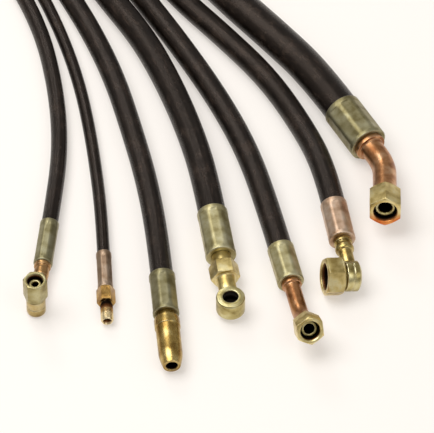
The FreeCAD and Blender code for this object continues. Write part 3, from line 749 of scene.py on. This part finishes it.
def drumShape(size, bore):
    # the round body at the corner, closed at its heel and open towards the nut
    drum = size["drum"] / 2
    back = size["back"]
    face = size["rise"] - swivel["step"]
    middle = (face - back) / 2
    top = elbowDetail["grooveTop"]
    grooveFloor = elbowDetail["grooveFloor"]
    grooved = drum - elbowDetail["groove"]
    rim = elbowDetail["rim"]
    outline = [(-back, elbowDetail["nearAxis"])]
    outline += rising(-back, drum - elbowDetail["heel"], elbowDetail["heelLength"] - back, drum, 4)
    outline += [(middle - top, drum), (middle - grooveFloor, grooved),
                (middle + grooveFloor, grooved), (middle + top, drum)]
    outline += rising(face - rim, drum, face, drum - rim, 3)
    outline += [(face, bore), (elbowDetail["floor"], bore), (elbowDetail["floor"], elbowDetail["nearAxis"])]
    bm = shape(outline, elbowDetail["soften"])
    mark(bm, "tone", lambda point: size["drumTone"])
    return bm


def elbowShape(hose, nut, top):
    size = elbows[hose]
    sizes = headSizes(nut)
    way = turnedSide(size["roll"])
    start = fittingStart(hose)
    bore = min(insertBore(hose), sizes["mouth"])
    corner = Vector((start + size["reach"], 0, 0))
    collarStop = start + elbowDetail["collarLength"]
    beadStart = collarStop + elbowDetail["beadFrom"]
    beadStop = beadStart + elbowDetail["beadLength"]
    neck = size["neck"] / 2
    neckStop = corner.x - size["drum"] / 2 + elbowDetail["intoDrum"]
    outline = tailOutline(hose) + [
        (start, size["collar"] / 2), (collarStop, size["collar"] / 2), (collarStop, neck)]
    outline += beadOutline(beadStart, beadStop, neck, size["bead"] / 2)
    outline += [(neckStop, neck), (neckStop, bore)]
    bm = shape(outline, elbowDetail["soften"])
    mark(bm, "tone", lambda point: size["tone"])
    joined(bm, drumShape(size, bore), standing(corner, way, top))
    nose = standing(corner + way * (size["rise"] + sizes["back"]), way, top)
    head = shape(headOutline(nut, sizes["head"] - elbowDetail["neckStep"], bore), elbowDetail["headSoften"])
    paintBoreShade(head, min(0, bore - sizes["mouth"]), bore, boreShadeRun)
    mark(head, "tone", lambda point: 1.0)
    joined(bm, head, nose)
    return bm, nose


stud = {"flats": 17.0, "hexagon": 18.0, "stud": 13.16, "length": 24.0, "cone": 9.4, "coneSlope": 30,
        "relief": 2.0, "reliefDepth": 1.0, "chamfer": 1.2, "pitch": 1.34, "threadDepth": 0.75,
        "threadGap": 0.2, "tipStep": 0.3, "boreRun": 3.0, "soften": 0.18, "unshadedRim": 0.3,
        "tone": 0.14, "reliefShade": 1.3, "reliefShadeReach": 9.0, "paleTip": 11.0, "paleTipFade": 3.0}


def studShape(hose):
    start = fittingStart(hose)
    bore = insertBore(hose)
    shoulder = start + stud["hexagon"]
    threadStart = shoulder + stud["relief"]
    tip = shoulder + stud["length"]
    chamferStart = tip - stud["chamfer"]
    radius = stud["stud"] / 2
    relief = radius - stud["reliefDepth"]
    coneDepth = (stud["cone"] / 2 - bore) / math.tan(math.radians(stud["coneSlope"]))
    outline = tailOutline(hose) + hexOutline(stud["flats"], start, shoulder)
    outline += [(shoulder, relief), (threadStart, relief)]
    outline += threadOutline(threadStart + stud["threadGap"], chamferStart,
                             radius - stud["threadDepth"], stud["threadDepth"], stud["pitch"])
    outline += [(chamferStart, radius - stud["tipStep"]), (tip, radius - stud["chamfer"]),
                (tip, stud["cone"] / 2), (tip - coneDepth, bore),
                (tip - coneDepth - stud["boreRun"], bore)]
    bm = shape(outline, stud["soften"], sixFlats(stud["flats"], start, shoulder))
    paintBoreShade(bm, tip - stud["unshadedRim"], stud["cone"] / 2, boreShadeRun)
    # painted shade sits in the relief and in the first turns of the thread, and the tip is painted paler:
    # partly rubbed bare, partly a painted highlight
    reach = stud["reliefShadeReach"]
    mark(bm, "inside", lambda point: stud["reliefShade"] * (threadStart + reach - point.x) / reach
         if point.x > shoulder + hexagonEnds["past"] else 0)
    mark(bm, "worn", lambda point: (point.x - tip + stud["paleTip"]) / stud["paleTipFade"])
    mark(bm, "tone", lambda point: stud["tone"])
    return bm, None


pipe = {"shoulder": 26.8, "shoulderLength": 13.0, "broken": 2.5, "brokenSteps": 6, "collar": 21.0,
        "collarLength": 5.0, "outer": 25.0, "step": 0.2, "stepBack": 0.8, "stepOn": 0.6,
        "straight": 32.0, "nose": 18.0, "taper": 17.0, "taperSteps": 12, "bulge": 1.6,
        "bore": 12.0, "rim": 0.8, "boreRun": 4.0, "soften": 0.3, "unshadedRim": 0.6}


def pipeShape(hose):
    start = fittingStart(hose)
    collarStop = start + pipe["collarLength"]
    shoulder = pipe["shoulder"] / 2
    shoulderStop = collarStop + pipe["shoulderLength"]
    straight = shoulderStop + pipe["straight"]
    tip = straight + pipe["taper"]
    outer = pipe["outer"] / 2
    fall = outer - pipe["nose"] / 2
    bore = pipe["bore"] / 2
    rim = pipe["rim"]
    outline = tailOutline(hose) + [(start, pipe["collar"] / 2), (collarStop, pipe["collar"] / 2)]
    for k in range(pipe["brokenSteps"] + 1):
        turn = math.pi / 2 * k / pipe["brokenSteps"]
        outline.append((collarStop + pipe["broken"] * (1 - math.cos(turn)),
                        shoulder - pipe["broken"] * (1 - math.sin(turn))))
    outline += [(shoulderStop - pipe["stepBack"], shoulder), (shoulderStop, outer + pipe["step"]),
                (shoulderStop + pipe["stepOn"], outer)]
    for k in range(pipe["taperSteps"] + 1):
        share = k / pipe["taperSteps"]
        outline.append((straight + (tip - straight) * share, outer - fall * share ** pipe["bulge"]))
    outline += [(tip, bore + rim), (tip - rim, bore), (tip - pipe["boreRun"], bore),
                (shoulderStop, bore), (shoulderStop, min(bore, insertBore(hose)))]
    bm = shape(outline, pipe["soften"])
    paintBoreShade(bm, tip - pipe["unshadedRim"], bore, boreShadeRun)
    return bm, None


eye = {"collar": 21.0, "collarLength": 12.0, "collarEdge": 0.4, "flats": 27.0, "hexagon": 18.0,
       "neck": 19.0, "neckFoot": 1.2, "intoRing": 1.5, "reach": 62.0, "channel": 6.0,
       "soften": 0.35, "tone": 0.9}
eyeRing = {"outer": 30.0, "thickness": 22.0, "bore": 16.0, "groove": 2.0, "grooveLength": 7.0,
           "mouthEdge": 0.6, "landStop": 3.2, "recessStart": 3.0, "recess": 0.5, "edge": 1.2,
           "edgeStop": 1.9, "cleanWall": 2.6, "wallMargin": 0.1, "shadeRun": 2.0, "soften": 0.25}


def ringShape():
    # the eye itself, with a raised land round its bore and an oil groove inside
    bore = eyeRing["bore"] / 2
    outer = eyeRing["outer"] / 2
    half = eyeRing["thickness"] / 2
    grooveHalf = eyeRing["grooveLength"] / 2
    grooved = bore + eyeRing["groove"]
    face = eyeRing["recess"] - half
    outline = [(-half, bore + eyeRing["mouthEdge"]), (-half, outer - eyeRing["landStop"]),
               (face, outer - eyeRing["recessStart"])]
    outline += rising(face, outer - eyeRing["edge"], eyeRing["edgeStop"] - half, outer, 3)
    outline += [(-x, r) for x, r in outline[::-1]]
    outline += [(half - eyeRing["mouthEdge"], bore), (half - eyeRing["cleanWall"], bore),
                (grooveHalf, bore), (grooveHalf, grooved), (-grooveHalf, grooved), (-grooveHalf, bore),
                (eyeRing["cleanWall"] - half, bore), (eyeRing["mouthEdge"] - half, bore)]
    bm = shape(outline, eyeRing["soften"])
    # painted shade on the bore's wall and groove, darker towards the middle of the ring
    wall = grooved + eyeRing["wallMargin"]
    mark(bm, "inside", lambda point: (half - eyeRing["mouthEdge"] - abs(point.x)) / eyeRing["shadeRun"]
         if math.hypot(point.y, point.z) <= wall else 0.0)
    return bm


def eyeShape(hose):
    start = fittingStart(hose)
    hexStart = start + eye["collarLength"]
    hexStop = hexStart + eye["hexagon"]
    centre = start + eye["reach"]
    neckStop = centre - eyeRing["bore"] / 2 - eyeRing["groove"] - eye["intoRing"]
    neck = eye["neck"] / 2
    channel = eye["channel"] / 2
    outline = tailOutline(hose) + [(start, eye["collar"] / 2),
                                   (hexStart - eye["collarEdge"], eye["collar"] / 2)]
    outline += hexOutline(eye["flats"], hexStart, hexStop)
    outline += [(hexStop, neck + eye["neckFoot"]), (hexStop + eye["neckFoot"], neck),
                (neckStop, neck), (neckStop, channel), (hexStart, channel),
                (hexStart, insertBore(hose))]
    bm = shape(outline, eye["soften"], sixFlats(eye["flats"], hexStart, hexStop))
    mark(bm, "tone", lambda point: eye["tone"])
    joined(bm, ringShape(), standing(Vector((centre, 0, 0)), zAxis, -xAxis))
    return bm, None


bends = {
    5: {"tube": 17.0, "bore": 11.0, "collar": 21.0, "collarLength": 4.0, "before": 28.0,
        "radius": 40.0, "turn": 30.0, "after": 15.0, "roll": 90},
    7: {"tube": 25.0, "bore": 14.0, "collar": 33.0, "collarLength": 5.0, "before": 12.0,
        "radius": 55.0, "turn": 32.0, "after": 32.0, "roll": 22},
}
bentDetail = {"collarStep": 1.0, "tubeFrom": 1.5, "rings": 24, "soften": 0.3}


def bendOver(bm, start, radius, turn, side):
    # wraps what lies past start round an arc towards side, and carries the rest along straight
    for vert in bm.verts:
        past = vert.co.x - start
        if past <= 0:
            continue
        angle = min(past / radius, turn)
        beyond = past - angle * radius
        out = vert.co - xAxis * vert.co.x
        offset = out.dot(side)
        along = xAxis * math.cos(angle) + side * math.sin(angle)
        across = side * math.cos(angle) - xAxis * math.sin(angle)
        line = (xAxis * (start + radius * math.sin(angle))
                + side * radius * (1 - math.cos(angle)) + along * beyond)
        vert.co = line + across * offset + (out - side * offset)


def bentShape(hose, nut):
    size = bends[hose]
    sizes = headSizes(nut)
    side = turnedSide(size["roll"])
    start = fittingStart(hose)
    turn = math.radians(size["turn"])
    collarStop = start + size["collarLength"]
    bendStart = collarStop + size["before"]
    arc = size["radius"] * turn
    tubeStart = collarStop + bentDetail["tubeFrom"]
    headBack = bendStart + arc + size["after"]
    noseAlong = headBack + swivel["step"] + sizes["back"]
    tube = size["tube"] / 2
    bore = size["bore"] / 2
    rings = bentDetail["rings"]
    places = [tubeStart + (headBack - tubeStart) * k / rings for k in range(rings + 1)]
    outline = tailOutline(hose) + [(start, size["collar"] / 2), (collarStop, size["collar"] / 2),
                                   (collarStop, tube + bentDetail["collarStep"])]
    outline += ringPoints(places, tube)
    outline += [(noseAlong + x, r) for x, r in headOutline(nut, tube, bore)[2:]]
    outline += ringPoints(places[::-1], bore)
    bm = shape(outline, bentDetail["soften"])
    paintBoreShade(bm, noseAlong + min(0, bore - sizes["mouth"]), bore, boreShadeRun)
    mark(bm, "tone", lambda point: point.x - headBack)
    bendOver(bm, bendStart, size["radius"], turn, side)
    way = xAxis * math.cos(turn) + side * math.sin(turn)
    leave = (xAxis * (bendStart + size["radius"] * math.sin(turn))
             + side * size["radius"] * (1 - math.cos(turn)))
    nose = leave + way * (noseAlong - bendStart - arc)
    return bm, standing(nose, way, zAxis.cross(way))


farHead = {"hexagon": 9.0, "neck": 5.0, "neckStep": 1.5, "soften": 0.3, "copper": (1, 5, 7)}


def straightShape(hose, nut):
    start = fittingStart(hose)
    sizes = headSizes(nut)
    bore = min(insertBore(hose), sizes["mouth"])
    neck = sizes["head"] - farHead["neckStep"]
    flats = min(nut["flats"], 2 * ferruleRadius(hose))
    hexStop = start + farHead["hexagon"]
    nose = hexStop + farHead["neck"] + swivel["step"] + sizes["back"]
    outline = tailOutline(hose) + hexOutline(flats, start, hexStop) + [(hexStop, neck)]
    outline += [(nose + x, r) for x, r in headOutline(nut, neck, bore)[1:]]
    outline += [(start, bore)]
    bm = shape(outline, farHead["soften"], sixFlats(flats, start, hexStop))
    paintBoreShade(bm, nose + min(0, bore - sizes["mouth"]), bore, boreShadeRun)
    return bm, standing(Vector((nose, 0, 0)), xAxis, zAxis)


# Ends: an insert's shape comes with the frame of its nose where it carries a swivel nut

def addEnd(word, hose, made, look):
    matrix = endFrame(hose, word == "near")
    bm, nose = made
    finished(bm, f"{word}_insert_{hose}_piece", matrix, look, "hose_set", f"{word}_insert_{hose}")
    if nose is not None:
        nut = (nearNuts if word == "near" else farNuts)[hose]
        addNut(word, hose, nut, inFitting(matrix, nose))


def addNearEnds():
    addEnd("near", 1, elbowShape(1, nearNuts[1], -xAxis), "copper")
    addEnd("near", 2, studShape(2), "warm")
    addEnd("near", 3, pipeShape(3), "gold")
    addEnd("near", 4, eyeShape(4), "eye")
    addEnd("near", 5, bentShape(5, nearNuts[5]), "copper")
    addEnd("near", 6, elbowShape(6, nearNuts[6], zAxis), "gold")
    addEnd("near", 7, bentShape(7, nearNuts[7]), "copper")


def addFarEnds():
    for hose in hoses:
        if hose == 2:
            addEnd("far", hose, studShape(hose), "warm")
        elif hose == 4:
            addEnd("far", hose, eyeShape(hose), "eye")
        else:
            look = "copper" if hose in farHead["copper"] else "gold"
            addEnd("far", hose, straightShape(hose, farNuts[hose]), look)


def finishSmallRings():
    # the locking wires and seal rings stay as packed and take a finish of their own
    for node, finish in (("nut_retaining_wires", finishes["wire"]), ("cone_seal_rings", sealRubber())):
        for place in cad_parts[node].material_slots:
            place.material = finish


aimCamera()
lightStudio()
layFloor()
finishes = {name: plated(look) for name, look in looks.items()}
for hose in hoses:
    layHose(hose)
print("camera, floor and hoses placed")
addFerrules()
print("ferrules crimped")
addNearEnds()
print("near ends made")
addFarEnds()
print("far ends made")
finishSmallRings()
